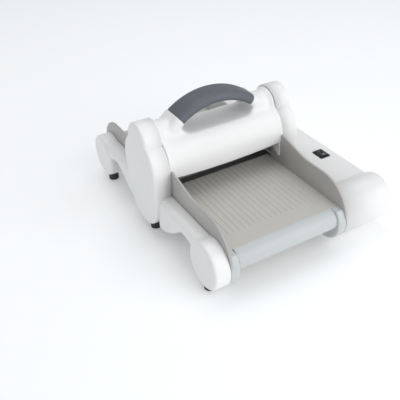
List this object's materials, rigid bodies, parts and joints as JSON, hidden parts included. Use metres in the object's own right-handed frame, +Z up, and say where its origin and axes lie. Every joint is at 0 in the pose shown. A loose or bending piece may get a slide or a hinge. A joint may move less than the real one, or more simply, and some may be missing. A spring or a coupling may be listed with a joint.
{
  "type": "die cutting machine",
  "caption": "Motor-driven table-top die cutter: plates ride on grooved trays between side guides and through a geared pair of steel rollers, in white covers with a carrying handle.",
  "frame": {"origin": "centre of the machine's bounding box, at the plane of the feet", "axes": "+X to the right of a user facing the front tray, -Y to the front, +Z up"},
  "size_m": [0.2668, 0.3516, 0.174],
  "materials": {
    "white_shell": "glossy moulded ABS",
    "tray_grey": "satin moulded ABS",
    "grip_grey": "soft-touch overmould",
    "steel": "zinc plated",
    "roller_steel": "ground steel",
    "bronze": "turned",
    "gear_nylon": "moulded nylon",
    "gearbox_metal": "die cast",
    "board_green": "solder mask on fibreglass",
    "black_plastic": "moulded",
    "dark_plastic": "moulded",
    "foot_rubber": "matte"
  },
  "bodies": {
    "machine_frame": {"side_plate_left": "steel", "side_plate_right": "steel", "tie_rods": "steel", "tie_rod_screws": "steel", "roller_bushes": "bronze", "idler_axle": "steel", "motor_plate": "steel", "plate_spacers": "steel", "motor_gearbox": "gearbox_metal", "motor_can": "steel", "circuit_board": "board_green", "board_pillars": "white_shell", "dc_inlet": "black_plastic", "switch_bezel": "black_plastic", "switch_terminals": "bronze", "front_tray": "tray_grey", "rear_tray": "tray_grey", "front_guide_left": "tray_grey", "front_guide_right": "tray_grey", "rear_guide_left": "tray_grey", "rear_guide_right": "tray_grey", "front_leg_left": "white_shell", "rear_leg_left": "white_shell", "left_ear": "white_shell", "right_ear": "white_shell", "housing_top": "white_shell", "housing_base": "white_shell", "centre_cover": "white_shell", "handle_grip": "grip_grey", "bottom_pan": "dark_plastic", "feet": "foot_rubber", "leg_screws": "steel", "guide_screws": "steel"},
    "upper_roller_set": {"upper_roller": "roller_steel", "sync_gear_upper": "gear_nylon", "upper_shaft_clip": "steel"},
    "lower_roller_set": {"lower_roller": "roller_steel", "sync_gear_lower": "gear_nylon", "drive_gear": "gear_nylon", "lower_shaft_clip": "steel"},
    "idler": {"idler_gear": "gear_nylon"},
    "motor_shaft": {"motor_pinion": "bronze"},
    "rocker": {"switch_rocker": "black_plastic"}
  },
  "joints": [
    {"name": "lower_roller_turn", "type": "hinge", "parent": "machine_frame", "child": "lower_roller_set", "pos_m": [-0.0266, 0, 0.0448], "axis": [1, 0, 0], "continuous": true},
    {"name": "upper_roller_turn", "type": "hinge", "parent": "machine_frame", "child": "upper_roller_set", "pos_m": [-0.0266, 0, 0.0928], "axis": [1, 0, 0], "continuous": true},
    {"name": "idler_turn", "type": "hinge", "parent": "machine_frame", "child": "idler", "pos_m": [0.0684, 0.03745, 0.037], "axis": [1, 0, 0], "continuous": true},
    {"name": "motor_turn", "type": "hinge", "parent": "machine_frame", "child": "motor_shaft", "pos_m": [0.0784, 0.06295, 0.037], "axis": [1, 0, 0], "continuous": true},
    {"name": "rocker_tilt", "type": "hinge", "parent": "machine_frame", "child": "rocker", "pos_m": [0.1112, -0.056, 0.061], "axis": [1, 0, 0], "range_deg": [-10, 10], "stiffness_Nm_per_rad": 0.05}
  ],
  "couplings": [
    {"joint": "upper_roller_turn", "follows": "lower_roller_turn", "ratio": -1},
    {"joint": "idler_turn", "follows": "lower_roller_turn", "ratio": -2},
    {"joint": "motor_turn", "follows": "lower_roller_turn", "ratio": 4}
  ]
}
